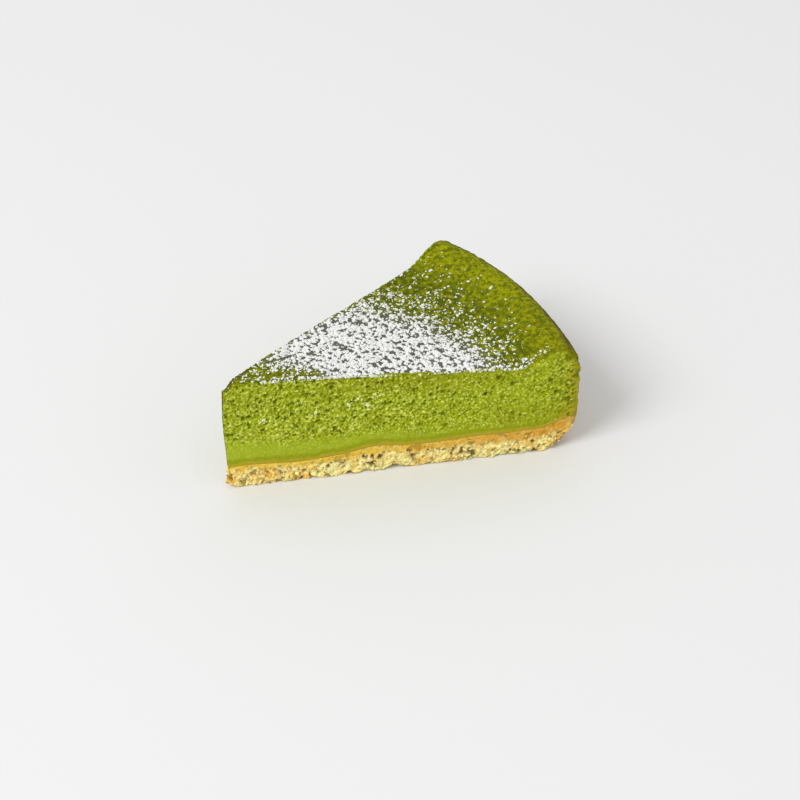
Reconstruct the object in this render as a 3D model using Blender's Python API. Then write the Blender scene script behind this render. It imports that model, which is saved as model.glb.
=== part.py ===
"""One slice of a baked matcha tart: a green filling on a pressed biscuit base.

The slice lies with its centreline along +X, its tip at -X and its baked outer side at +X, and
rests on z = 0. Its near cut faces -Y and its far cut faces +Y. Radii are distances from the
point where the two cuts would meet.
"""

import math

import bmesh
import bpy
from mathutils import Matrix, Vector, noise

MM = 0.001

# The tart and the cut.
TART_RADIUS = 104.4 * MM
SLICE_ANGLE = math.radians(41)
TIP_BLUNTNESS = 0.7 * MM  # the knife leaves no true point
TIP_LEAN = 1.6 * MM  # how far the tip stands back at the top
TIP_CHIP = 1.9 * MM  # the top corner of the tip has crumbled away
TIP_CHIP_REACH = 4.5 * MM
LAYER_GAP = 0.3 * MM

# The baked top: domed at the tip, sunk in a ring, raised again against the tin.
# The far half has a lower dome and a shallower ring.
NEAR_TROUGH = 32.9 * MM
FAR_TROUGH = 33.6 * MM
NEAR_DOME_RISE = 4.1 * MM
FAR_DOME_RISE = 2.6 * MM
DOME_START = 16 * MM
NEAR_DOME_END = 73 * MM
FAR_DOME_END = 88 * MM
NEAR_RIM_RISE = 3.9 * MM
FAR_RIM_RISE = 3.3 * MM
RIM_START = 84 * MM
RIM_CREST = 98.3 * MM
NEAR_SAG = 2.75 * MM  # along the near cut the top has sagged, just inside the rim
NEAR_SAG_START = 78 * MM
NEAR_SAG_DEEPEST = 94 * MM
NEAR_SAG_END = 102 * MM
NEAR_SAG_REACH = 10 * MM  # how far in from the near cut

# The outer side: it flares up from the base, and rounds over from the shoulder to the crest.
WALL_FLARE = 0.7 * MM
NEAR_SHOULDER_DROP = 9 * MM
FAR_SHOULDER_DROP = 5.5 * MM
NEAR_CORNER_ROUND = 2.6 * MM  # where the outer side meets a cut
FAR_CORNER_ROUND = 0.8 * MM
NEAR_SLUMP = 1.6 * MM  # the near corner has settled outwards
NEAR_SLUMP_REACH = 14 * MM

# The biscuit base: thinner near the tip, swollen halfway along, creeping up the wall of the tin.
BASE_HEIGHT = 7.9 * MM
BASE_SWELL = 1.2 * MM
BASE_SWELL_AT = 45 * MM
BASE_SWELL_WIDTH = 6 * MM
BASE_THINNING = 1.0 * MM
BASE_THIN_AT = 24 * MM
BASE_THIN_WIDTH = 11 * MM
BASE_OUTER_GAIN = 0.9 * MM
BASE_WAVE = 0.5 * MM
BASE_WAVE_LENGTH = 11 * MM
WALL_CREEP = 2.9 * MM
WALL_CREEP_START = 93 * MM
BASE_CORNER = 7.5 * MM  # radius of the tin's rounded bottom edge
CORNER_WEAR = 3.2 * MM  # crumbs lost where a cut meets the outer side
CORNER_WEAR_REACH = 5 * MM
WAVE_REACH = 7 * MM  # how far in from a cut the uneven seam is modelled

# Relief of the surfaces.
PORE_SIZE = 1.9 * MM
PORE_DEPTH = 0.75 * MM
PORES_START = 3.6 * MM  # above the seam; the filling is dense below
PORES_FULL = 9.6 * MM
SKIN_BUMP = 0.32 * MM
SKIN_BUMP_SIZE = 3.4 * MM
SKIN_LEVEL = 6 * MM  # above the seam; the skin's bumps end here
CRAG_SIZE = 2.3 * MM
CRAG_DEPTH = 1.15 * MM
CRAG_CREST = 0.35  # crags are cut off at this share of their depth, so pits outweigh bumps
OUTER_CRAG_SHARE = 0.45
CRUMB_PROUD = 0.45 * MM  # the broken crumb stands a little out of the cut
LOWER_EDGE = 0.1 * MM
LOWER_EDGE_LOSS = 1.1 * MM
RIM_CRUMB_HEIGHT = 1.2 * MM
RIM_CRUMB_WIDTH = 1.7 * MM
RIM_CRUMB_FROM_CUT = 5.2 * MM

# Each kind of relief takes its noise from a place of its own.
SEAM_SEED = 4.7
PORE_SEED = 11.3
SKIN_SEED = 2.9
CRAG_SEED = 7.1
EDGE_SEED = 9.4

# How finely the solids are divided.
FILLING_RADIAL_STEPS = 60
FILLING_LAYERS = 15
BASE_RADIAL_STEPS = 80
BASE_LAYERS = 7
ANGLE_STEPS = 18
CROWDING = 0.75  # how strongly the angle steps crowd towards the cuts, from 0 to 1

HALF_ANGLE = SLICE_ANGLE / 2


def smooth(low, high, value):
    """0 below low, 1 above high, and an even S-curve between them."""
    share = min(1.0, max(0.0, (value - low) / (high - low)))
    return share * share * (3 - 2 * share)


def hump(offset, width):
    """1 at no offset, falling away on both sides over this width."""
    return math.exp(-((offset / width) ** 2))


def waves(x, y, z, size, seed):
    """Smooth noise from -1 to 1 with features of about this size."""
    return noise.noise(Vector((x / size + seed, y / size, z / size)))


def near_to_far(near_value, far_value, angle):
    """A size that changes evenly from the near cut to the far cut."""
    share = (angle / HALF_ANGLE + 1) / 2
    return near_value + (far_value - near_value) * share


def distance_to_cut(radius, angle):
    """How far a point lies inside the nearer of the two cut faces."""
    return max(0.0, radius * math.sin(HALF_ANGLE - abs(angle)))


def quarter_round(depth, radius):
    """How far a rounded edge of this radius stands back, at a depth from the flat face it meets."""
    left = max(0.0, radius - depth)
    return radius - math.sqrt(radius * radius - left * left)


def near_sag(radius, angle):
    """How far the top has sagged along the near cut."""
    falling = smooth(NEAR_SAG_START, NEAR_SAG_DEEPEST, radius)
    rising = smooth(NEAR_SAG_DEEPEST, NEAR_SAG_END, radius)
    from_near_cut = radius * math.sin(HALF_ANGLE + angle)
    return NEAR_SAG * falling * (1 - rising) * (1 - smooth(0, NEAR_SAG_REACH, from_near_cut))


def crest_height(angle):
    """Height of the rim's crest, where nothing has sagged."""
    return near_to_far(NEAR_TROUGH + NEAR_RIM_RISE, FAR_TROUGH + FAR_RIM_RISE, angle)


def top_height(radius, angle):
    """Height of the smooth baked top."""
    trough = near_to_far(NEAR_TROUGH, FAR_TROUGH, angle)
    dome_end = near_to_far(NEAR_DOME_END, FAR_DOME_END, angle)
    dome_rise = near_to_far(NEAR_DOME_RISE, FAR_DOME_RISE, angle)
    rim_rise = near_to_far(NEAR_RIM_RISE, FAR_RIM_RISE, angle)
    dome = dome_rise * (1 - smooth(DOME_START, dome_end, radius))
    rim = rim_rise * smooth(RIM_START, RIM_CREST, radius)
    chip = TIP_CHIP * (1 - smooth(0, TIP_CHIP_REACH, radius - TIP_BLUNTNESS - TIP_LEAN))
    return trough + dome + rim - chip - near_sag(radius, angle)


def base_height(radius, angle):
    """Height of the seam between the base and the filling, uneven where a cut shows it."""
    shown = 1 - smooth(0, WAVE_REACH, distance_to_cut(radius, angle))
    swell = BASE_SWELL * hump(radius - BASE_SWELL_AT, BASE_SWELL_WIDTH)
    thinning = BASE_THINNING * hump(radius - BASE_THIN_AT, BASE_THIN_WIDTH)
    side = 1 if angle > 0 else 0
    ripple = BASE_WAVE * waves(radius, side, 0, BASE_WAVE_LENGTH, SEAM_SEED)
    outward = BASE_OUTER_GAIN * radius / TART_RADIUS
    creep = WALL_CREEP * smooth(WALL_CREEP_START, TART_RADIUS, radius)
    return BASE_HEIGHT + creep + shown * (swell - thinning + ripple + outward)


def outer_radius(height, angle):
    """Distance of the outer side from the slice's point."""
    drop = near_to_far(NEAR_SHOULDER_DROP, FAR_SHOULDER_DROP, angle)
    corner_round = near_to_far(NEAR_CORNER_ROUND, FAR_CORNER_ROUND, angle)
    widest = crest_height(angle) - drop
    above_base = smooth(0, BASE_HEIGHT + WALL_CREEP, height)
    from_near_cut = TART_RADIUS * math.sin(HALF_ANGLE + angle)
    inward = distance_to_cut(TART_RADIUS, angle)
    flare = WALL_FLARE * min(1.0, height / widest)
    slump = NEAR_SLUMP * hump(from_near_cut, NEAR_SLUMP_REACH) * above_base
    wear = CORNER_WEAR * hump(inward, CORNER_WEAR_REACH) * (1 - above_base)
    rounding = quarter_round(inward, corner_round) * above_base
    wall = TART_RADIUS + flare + slump - wear - rounding
    if height < widest:
        return wall - quarter_round(height, BASE_CORNER)
    share = min(1.0, (height - widest) / drop)
    return RIM_CREST + (wall - RIM_CREST) * math.sqrt(1 - share * share)


def tip_radius(height):
    """Distance of the tip's narrow edge from the slice's point."""
    return TIP_BLUNTNESS + TIP_LEAN * height / NEAR_TROUGH


def sector_block(radial_steps, layers):
    """A mesh of a tart sector with radius and angle in place, and 0 to 1 in z for bottom to top."""
    bm = bmesh.new()
    bmesh.ops.create_grid(bm, x_segments=radial_steps, y_segments=layers, size=0.5)
    for vert in bm.verts:
        along, up, _ = vert.co
        vert.co = (TIP_BLUNTNESS + (along + 0.5) * (TART_RADIUS - TIP_BLUNTNESS), 0, up + 0.5)
    turn = Matrix.Rotation(-HALF_ANGLE, 3, "Z")
    bmesh.ops.rotate(bm, verts=bm.verts[:], cent=(0, 0, 0), matrix=turn)
    bmesh.ops.spin(
        bm,
        geom=bm.faces[:],
        cent=(0, 0, 0),
        axis=(0, 0, 1),
        angle=SLICE_ANGLE,
        steps=ANGLE_STEPS,
        use_duplicate=False,
    )
    bmesh.ops.recalc_face_normals(bm, faces=bm.faces[:])
    return bm


def polar(point):
    """The radius and the angle of a point, held between the two cuts."""
    angle = math.atan2(point.y, point.x)
    return math.hypot(point.x, point.y), min(HALF_ANGLE, max(-HALF_ANGLE, angle))


def shape_layer(bm, floor_height, ceiling_height):
    """Bends a sector block to its real form, between two heights given as functions."""
    for vert in bm.verts:
        radius, angle = polar(vert.co)
        share_out = (radius - TIP_BLUNTNESS) / (TART_RADIUS - TIP_BLUNTNESS)
        level = vert.co.z
        share_across = angle / HALF_ANGLE
        crowded = math.sin(share_across * math.pi / 2)
        angle = HALF_ANGLE * (share_across + CROWDING * (crowded - share_across))
        low = floor_height(radius, angle)
        edge_height = low + level * (ceiling_height(radius, angle) - low)
        inner = tip_radius(edge_height)
        shaped = inner + share_out * (outer_radius(edge_height, angle) - inner)
        low = floor_height(shaped, angle)
        height = low + level * (ceiling_height(shaped, angle) - low)
        vert.co = (shaped * math.cos(angle), shaped * math.sin(angle), height)
    bm.normal_update()


def rim_crumb(radius, angle):
    """The small crumb that stands on the rim beside the far corner."""
    along = distance_to_cut(radius, angle) - RIM_CRUMB_FROM_CUT
    crumb = hump(along, RIM_CRUMB_WIDTH) * hump(radius - RIM_CREST, RIM_CRUMB_WIDTH)
    return RIM_CRUMB_HEIGHT * crumb if angle > 0 else 0.0


def pit_filling(bm):
    """Pores in the cut faces above their dense foot, and shallow bumps on the baked skin."""
    moves = []
    for vert in bm.verts:
        radius, angle = polar(vert.co)
        above_base = vert.co.z - base_height(radius, angle) - LAYER_GAP
        x, y, z = vert.co
        on_cut = abs(vert.normal.z) < 0.5 and distance_to_cut(radius, angle) < TIP_BLUNTNESS / 2
        if on_cut:
            porous = smooth(PORES_START, PORES_FULL, above_base)
            pore = max(0.0, waves(x, y, z, PORE_SIZE, PORE_SEED))
            move = -PORE_DEPTH * porous * pore
        elif above_base > SKIN_LEVEL:
            bump = SKIN_BUMP * waves(x, y, z, SKIN_BUMP_SIZE, SKIN_SEED)
            move = bump + rim_crumb(radius, angle)
        else:
            move = 0.0
        moves.append((vert, vert.normal * move))
    for vert, step in moves:
        vert.co += step


def crumble_base(bm):
    """Crags of crumb in the cut faces and the outer side, with bits lost along the lower edge."""
    moves = []
    for vert in bm.verts:
        radius, angle = polar(vert.co)
        x, y, z = vert.co
        near_cut = distance_to_cut(radius, angle) < TIP_BLUNTNESS / 2
        on_outside = vert.normal.x > 0.3 and radius > WALL_CREEP_START
        if not near_cut and not on_outside:
            continue
        crag = CRAG_DEPTH * min(CRAG_CREST, waves(x, y, z, CRAG_SIZE, CRAG_SEED))
        proud = CRUMB_PROUD * (1 - z / BASE_HEIGHT) if near_cut else 0.0
        share = 1.0 if near_cut else OUTER_CRAG_SHARE
        step = vert.normal * (crag * share + max(0.0, proud))
        step.z = 0.0
        if z < LOWER_EDGE:
            step.z = LOWER_EDGE_LOSS * share * max(0.0, waves(x, y, 0, CRAG_SIZE * 2, EDGE_SEED))
        moves.append((vert, step))
    for vert, step in moves:
        vert.co += step


def finish_object(name, bm, material):
    bmesh.ops.recalc_face_normals(bm, faces=bm.faces[:])
    mesh = bpy.data.meshes.new(name)
    bm.to_mesh(mesh)
    bm.free()
    mesh.materials.append(material)
    obj = bpy.data.objects.new(name, mesh)
    bpy.context.scene.collection.objects.link(obj)
    return obj


def food_material(name, colour, roughness):
    material = bpy.data.materials.new(name)
    material.use_nodes = True
    shader = material.node_tree.nodes["Principled BSDF"]
    shader.inputs["Base Color"].default_value = (*colour, 1.0)
    shader.inputs["Roughness"].default_value = roughness
    shader.inputs["Metallic"].default_value = 0.0
    material.diffuse_color = (*colour, 1.0)
    return material


def build_filling():
    """The baked matcha filling, from the seam up to the skin."""
    bm = sector_block(FILLING_RADIAL_STEPS, FILLING_LAYERS)
    shape_layer(
        bm,
        lambda radius, angle: base_height(radius, angle) + LAYER_GAP,
        top_height,
    )
    pit_filling(bm)
    green = food_material("baked_matcha_custard", (0.30, 0.36, 0.025), 0.55)
    return finish_object("matcha_filling", bm, green)


def build_base():
    """The base of crushed biscuit pressed together with butter."""
    bm = sector_block(BASE_RADIAL_STEPS, BASE_LAYERS)
    shape_layer(bm, lambda radius, angle: 0.0, base_height)
    crumble_base(bm)
    tan = food_material("pressed_biscuit_crumb", (0.64, 0.43, 0.15), 0.8)
    return finish_object("biscuit_base", bm, tan)


def centre_length(objects):
    """Puts the origin below the middle of the slice's length."""
    reach = [vert.co.x for obj in objects for vert in obj.data.vertices]
    shift = Matrix.Translation((-(min(reach) + max(reach)) / 2, 0, 0))
    for obj in objects:
        obj.data.transform(shift)


def main():
    for obj in list(bpy.data.objects):
        bpy.data.objects.remove(obj, do_unlink=True)
    centre_length([build_base(), build_filling()])


main()
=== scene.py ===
"""Looks of one slice of a baked matcha tart, dusted with icing sugar, built around its solids.

The slice lies with its centreline along +X, its tip at -X and its near cut facing -Y. Radii are
distances from the point where its two cuts would meet, and angles are counted from the
centreline, negative towards the near cut.
"""

import math

import bmesh
import bpy
import numpy as np
from bpy.props import FloatProperty, FloatVectorProperty, IntProperty, PointerProperty, StringProperty
from mathutils import Matrix, Vector, noise
from mathutils.bvhtree import BVHTree


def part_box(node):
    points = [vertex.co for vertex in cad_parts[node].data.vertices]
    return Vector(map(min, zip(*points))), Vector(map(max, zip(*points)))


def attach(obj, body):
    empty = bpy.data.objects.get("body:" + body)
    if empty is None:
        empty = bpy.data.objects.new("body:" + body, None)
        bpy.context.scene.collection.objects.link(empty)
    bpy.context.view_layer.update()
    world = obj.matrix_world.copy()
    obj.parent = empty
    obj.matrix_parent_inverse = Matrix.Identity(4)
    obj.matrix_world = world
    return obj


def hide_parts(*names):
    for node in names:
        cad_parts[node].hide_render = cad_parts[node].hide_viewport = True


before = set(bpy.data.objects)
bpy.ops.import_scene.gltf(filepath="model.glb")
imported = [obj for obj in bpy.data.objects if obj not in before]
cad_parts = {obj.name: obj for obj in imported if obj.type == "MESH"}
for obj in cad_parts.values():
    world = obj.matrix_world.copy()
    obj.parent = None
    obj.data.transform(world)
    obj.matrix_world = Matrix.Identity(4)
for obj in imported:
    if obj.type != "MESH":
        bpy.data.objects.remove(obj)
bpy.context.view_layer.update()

bl_info = {
    "name": "Matcha tart slice",
    "version": (1, 0, 0),
    "blender": (4, 5, 0),
    "location": "3D View > Sidebar > Tart",
    "description": "Porous baked filling, biscuit crumb and icing sugar for one slice of tart",
    "category": "Add Mesh",
}

MM = 0.001

# The form of the slice, as its solids have it.
TART_RADIUS = 104.4 * MM
SLICE_ANGLE = math.radians(41)
HALF_ANGLE = SLICE_ANGLE / 2
TIP_BLUNTNESS = 0.7 * MM
TIP_LEAN = 1.6 * MM
TIP_CHIP = 1.9 * MM
TIP_CHIP_REACH = 4.5 * MM
SEAM_OVERLAP = 0.4 * MM  # the baked layers have grown together, so no crack shows between them
SEAM_STEP = 0.1 * MM  # the base stands this much back under the filling's lower edge
NEAR_TROUGH = 32.9 * MM
FAR_TROUGH = 33.6 * MM
NEAR_DOME_RISE = 4.1 * MM
FAR_DOME_RISE = 2.6 * MM
DOME_START = 16 * MM
NEAR_DOME_END = 73 * MM
FAR_DOME_END = 88 * MM
NEAR_RIM_RISE = 3.9 * MM
FAR_RIM_RISE = 3.3 * MM
RIM_START = 84 * MM
RIM_CREST = 98.3 * MM
NEAR_SAG = 2.75 * MM
NEAR_SAG_START = 78 * MM
NEAR_SAG_DEEPEST = 94 * MM
NEAR_SAG_END = 102 * MM
NEAR_SAG_REACH = 10 * MM
WALL_FLARE = 0.7 * MM
NEAR_SHOULDER_DROP = 9 * MM
FAR_SHOULDER_DROP = 5.5 * MM
NEAR_CORNER_ROUND = 2.6 * MM
FAR_CORNER_ROUND = 0.8 * MM
NEAR_SLUMP = 1.6 * MM
NEAR_SLUMP_REACH = 14 * MM
BASE_HEIGHT = 7.9 * MM
BASE_SWELL = 1.2 * MM
BASE_SWELL_AT = 45 * MM
BASE_SWELL_WIDTH = 6 * MM
BASE_THINNING = 1.0 * MM
BASE_THIN_AT = 24 * MM
BASE_THIN_WIDTH = 11 * MM
BASE_OUTER_GAIN = 0.9 * MM
BASE_WAVE = 0.5 * MM
BASE_WAVE_LENGTH = 11 * MM
WALL_CREEP = 2.9 * MM
WALL_CREEP_START = 93 * MM
BASE_CORNER = 7.5 * MM
CORNER_WEAR = 3.2 * MM
CORNER_WEAR_REACH = 5 * MM
WAVE_REACH = 7 * MM
SEAM_SEED = 4.7
FILLING_TIP = 1.025 * MM  # from the slice's point to the foremost point of the filling

# Where the slice's point lies in the frame.
POINT_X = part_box("matcha_filling")[0].x - FILLING_TIP

# Details of the looks that the solids leave out.
TIP_BULGE = 0.85 * MM  # the soft filling has crept out at the tip, over the base
TIP_BULGE_AT = 24 * MM
TIP_BULGE_WIDTH = 11 * MM
LIP_AT = 54 * MM  # the near edge is bare of sugar, widest here
LIP_REACH = 11 * MM
LIP_WIDTH = 0.8 * MM
THIN_LIP_WIDTH = 0.12 * MM
OVERHANG = 0.75 * MM  # elsewhere the skin and its sugar hang a little over the near cut
OVERHANGS = ((25 * MM, 10 * MM), (80 * MM, 8 * MM))
RIM_CRUMB_HEIGHT = 1.2 * MM
RIM_CRUMB_WIDTH = 1.7 * MM
RIM_CRUMB_FROM_CUT = 5.2 * MM
# Pits in the near cut, each by its radius and its height in mm.
FILLING_PITS = ((77.9, 23.5), (81.8, 28.8), (86.0, 26.0), (99.0, 21.2), (97.3, 25.8))
FILLING_PIT_SIZE = 0.75 * MM
BASE_PITS = ((102.5, 5.0), (99.8, 1.9), (55.8, 3.9), (45.9, 4.7), (41.5, 5.7))
BASE_PIT_SIZE = 1.0 * MM
SMALL_BASE_PITS = ((12.5, 3.6), (23.2, 3.0), (30.3, 3.5), (60.5, 4.5), (85.5, 1.6), (92.3, 3.8))
SMALL_BASE_PIT_SIZE = 0.65 * MM
CRUMB_PROUD = 0.45 * MM  # the broken crumb stands a little out of the cut
# Pale dry crumbs on the near cut, each patch by its radius and its height in mm.
PALE_PATCHES = ((40.5, 26.7), (42.8, 24.6), (37.3, 25.4), (45.8, 27.7), (27.6, 24.2), (12.4, 23.5))
PALE_PATCH_REACH = 0.6 * MM
TIP_WEAR = 1.5 * MM  # the base is worn round under the tip
TIP_WEAR_REACH = 4 * MM
ARCH_HEIGHT = 1.7 * MM  # a crumb has broken out of the near cut's lower edge
ARCH_AT = 50 * MM
ARCH_WIDTH = 2.6 * MM
# The hole is drawn dark with painted shade, in the haze and gap shade colour.
SUGAR_GAP = (51.6 * MM, 10.1 * MM)  # a dark hole in the sugar
SUGAR_GAP_SIZE = 1.5 * MM
SUGAR_SPOT_SPACING = 1.65 * MM  # the clumps leave small round spots of skin open
SUGAR_SPOT_SHARE = 0.44
STRAY_ROW_AT = 91 * MM  # a short row of stray clumps along the near edge
STRAY_ROW_REACH = 4.5 * MM

# Patterns of noise, each by the size of its features and its seed.
RIDGES = (0.8 * MM, 5.5)
FINE_RIDGES = (0.45 * MM, 15.5)
PIT_WAVES = (1.1 * MM, 9.9)
TORN_SWELLS = (3 * MM, 4.4)
FLECKS = (1.6 * MM, 6.6)
CREST_WANDER = (6 * MM, 1.7)
BAND_EDGE = (2.5 * MM, 2.2)
BASE_SWELLS = (3.5 * MM, 6.2)
FLOOR_WEAR = (6 * MM, 9.4)
TONE_PATCHES = (4.5 * MM, 7.9)
SUGAR_HEAPS = (1.2 * MM, 3.7)

# Seeds of the patterns whose sizes are settings or shares, coarse before fine, and of the sugar.
BUBBLE_SEEDS = (3.3, 12.1)
SKIN_BUMP_SEEDS = (2.9, 8.1)
CRUMB_SEEDS = (4.1, 8.6)
WOBBLE_SHIFTS = (0, 17.3, 41.9)
CLUMP_SEED = 21
GRAIN_SEED = 34

# Each look of a bubble or a crumb is drawn with its own key, so that they don't go together.
BUBBLE_KEY = 13.7
TILT_KEY = 7.7
HOLE_KEY = 5.7
TONE_KEY = 9.3
LEVEL_KEY = 3.1

# Radius of a bubble, as a share of the bubbles' spacing, and how far it strays either way.
BUBBLE_MIDDLE = 0.1
BUBBLE_STRAY = 0.42

# Where the filling's relief and looks set in or fade out. A pair gives where that starts and
# where it ends: a radius, or a height, a depth or a distance where the name says so.
DENSE_FOOT_MM = 8.5
FOOT_SLOPE = 0.075  # the dense foot thins outwards by this share of the radius
FOOT_FADE = (2.5 * MM, 3.5 * MM)  # below and above the foot's top
FOOT_TINT_FADE = (3 * MM, 2.5 * MM)
SIDE_COARSENESS = 1.9  # the outer side has wider faces than the cut, so roughness is coarser there
DENSER_CUT = (45 * MM, 85 * MM)
SHADED_PITS_CUT = (TART_RADIUS - 8 * MM, TART_RADIUS - 1 * MM)
SHADED_PITS_HEIGHTS = (16 * MM, 24 * MM)
TORN_START = (RIM_CREST, RIM_CREST + 2 * MM)
TORN_FROM_CUT = (1 * MM, 6 * MM)
TORN_DEPTHS = (3 * MM, 7 * MM)
SKIN_START = 6 * MM  # above the seam
SKIN_FADE = (0, 2 * MM)
CREST_STARTS = (3.8, 2.8)  # past the crest at the near and the far cut, in mm
CREST_DEPTHS = (2.5 * MM, 6.5 * MM)
# Radii over which the painted shade along the tip's far edge fades out.
FAR_TIP_SHADE_END = (12 * MM, 24 * MM)
UNDER_SKIN_AT = 64 * MM
UNDER_SKIN_WIDTH = 18 * MM
UNDER_SKIN_HEIGHTS = (24 * MM, 31 * MM)
UNDER_SKIN_END = (84 * MM, 94 * MM)
LOW_BROWN_START = (78 * MM, 86 * MM)
LOW_BROWN_AT = 14.5 * MM
BROWNED_SHOULDER = (90 * MM, 97 * MM)
BROWNED_WALL = (RIM_CREST + 3 * MM, TART_RADIUS)
BAKED_EDGE = (TART_RADIUS - 5.5 * MM, TART_RADIUS)
STAINED_WALL = (97 * MM, TART_RADIUS)
DAMP_START = (8 * MM, 25 * MM)
DAMP_END = ((88, 80), (101, 93))  # in mm, each at the near and at the far cut
HAZE_AND_GAP_SHADE_END = (76 * MM, 86 * MM)
LIP_FADE = (0.7, 1.2)  # as shares of the lip's width
FAR_EDGE_FADE = (0.5 * MM, 2 * MM)
LEAST_POROUS = 0.01
LEAST_OVERHANG = 0.01 * MM
TORN_SWELL = 0.4 * MM
CREST_STRAY = 0.8 * MM
CREST_FADE = 1.4 * MM
LOW_BROWN_HEIGHT = 3 * MM
STAIN_HEIGHT = 1.1 * MM
WALL_STAIN = 3.5 * MM
FOOT_LINE_AT = 1.4 * MM
FOOT_LINE_HEIGHT = 1.0 * MM

# How far flecks of the noise shift the edges of these looks.
CREST_FLECK = 2.5 * MM
BAKED_FLECK = 3.5 * MM
STAIN_FLECK = 0.7 * MM
OVERHANG_FLECK = 0.3 * MM

# Where the relief and the looks of the base and its crumbs set in or fade out, in the same way.
BAND_WIDENING = (15 * MM, 45 * MM)
OUTER_BAND_WIDENING = (72 * MM, 88 * MM)
BAND_END = (101.5 * MM, TART_RADIUS)
RELIEF_FADE = (SEAM_OVERLAP / 2, 1 * MM)
STEP_FADE = (SEAM_OVERLAP, 1 * MM)
WORN_END = (68 * MM, 80 * MM)
TIP_LOOKS = (18 * MM, 36 * MM)
CORNER_LOOKS = (94 * MM, 101 * MM)
OUTWARD_LOOKS = (30 * MM, 95 * MM)
BAND_STRAY = 1.2 * MM
HOLE_SHARES = (0.09, 0.1)
RELIEF_CRACK = 0.14
FLOOR_WEAR_DEPTH = 0.75 * MM
WORN_FROM_CUT = 0.3 * MM
ON_FLOOR = 0.05 * MM

# Where the sugar lies. The patch's start and end are radii in mm, at the near and at the far cut.
PATCH_START = ((12.5, 6), (37, 31))
PATCH_END = ((71, 35), (95, 82))
STRAY_START = (2 * MM, 10 * MM)
STRAY_END = (86 * MM, 99 * MM)
TIP_STRAYS_AT = 16 * MM
TIP_STRAYS_REACH = 8 * MM
ROW_FROM_CUT = 0.8 * MM
ROW_BEND_AT = 87 * MM  # from here on the row of stray clumps leaves the edge
ROW_WIDTH = 0.9 * MM
THIN_STRIP = 2.5 * MM  # beside the near cut at the tip, both its distance inwards and its width
THIN_STRIP_END = (26 * MM, 36 * MM)
FRAYED_EDGE = (0.4 * MM, 1.8 * MM)

# Where loose crumbs and sugar lie. Each is dropped on to its surface from outside it.
DROP_START = 4 * MM
DROP_REACH = 9 * MM
ABOVE_TOP = 60 * MM  # sugar on the top is dropped from this height
FIRST_CRUMBS = 2 * MM
CRUMBS_FROM_FLOOR = 0.2 * MM
SIDE_CRUMBS_FROM_FLOOR = 0.5 * MM
CRUMBS_BELOW_SEAM = 1.5 * MM
CRUMBS_ABOVE_SEAM = 3 * MM
HIGHEST_CRUMBS = 38 * MM
LARGER_CRUMBS = (88 * MM, 100 * MM)
CRUMB_BAND_DEPTHS = (2.2 * MM, 3.8 * MM)
EDGE_SUGAR = (12 * MM, 90 * MM)
EDGE_SUGAR_INSIDE = 2 * MM  # the near edge catches as much sugar as lies this far inside it
EDGE_SUGAR_BELOW = 0.1 * MM
EDGE_SUGAR_DEPTH = 0.3 * MM
BARE_SHIFT = 2 * MM  # the edge holds no sugar round a place this far past the bare lip's middle

# How finely the two bodies are divided. Each is subdivided after its coarse block is spun.
FILLING_RADIAL_STEPS = 78
FILLING_LAYERS = 21
BASE_RADIAL_STEPS = 86
BASE_LAYERS = 7
ANGLE_STEPS = 22
FINE_CUTS = 3
CROWDING = 0.3  # how strongly the angle steps crowd towards the cuts, from 0 to 1
HIDDEN_MARGIN = 1 * MM  # hidden faces further in than this become one flat polygon
LEVEL_TOLERANCE = 0.001  # as a share of the block's height

# What the camera looks at, the width of its sensor in mm, and the nearest that it sees.
AIM = (12.27 * MM, 10.76 * MM, 0)
SENSOR_WIDTH = 36
NEAREST_SEEN = 10 * MM

# Sockets of the Mix node that mixes colours.
MIX_SHARE = 0
MIX_FROM = 6
MIX_TO = 7
MIX_RESULT = 2


def length(name, description, millimetres):
    """A size in metres that a user may change."""
    return FloatProperty(name=name, description=description, default=millimetres * MM, min=0, unit="LENGTH")


def share(name, description, value, highest=1.0):
    """A factor that a user may change."""
    return FloatProperty(name=name, description=description, default=value, min=0, max=highest)


def colour(name, description, value):
    """An sRGB hex colour that a user may change."""
    return StringProperty(name=name, description=description, default=value, maxlen=7)


def rotation(name, description, degrees):
    """An angle that a user may change."""
    return FloatProperty(name=name, description=description, default=math.radians(degrees), subtype="ANGLE")


def position(name, description, value):
    """A place in metres that a user may change."""
    return FloatVectorProperty(
        name=name, description=description, default=value, subtype="TRANSLATION", unit="LENGTH"
    )


def count(name, description, value):
    """A number of pieces that a user may change."""
    return IntProperty(name=name, description=description, default=value, min=0)


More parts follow.
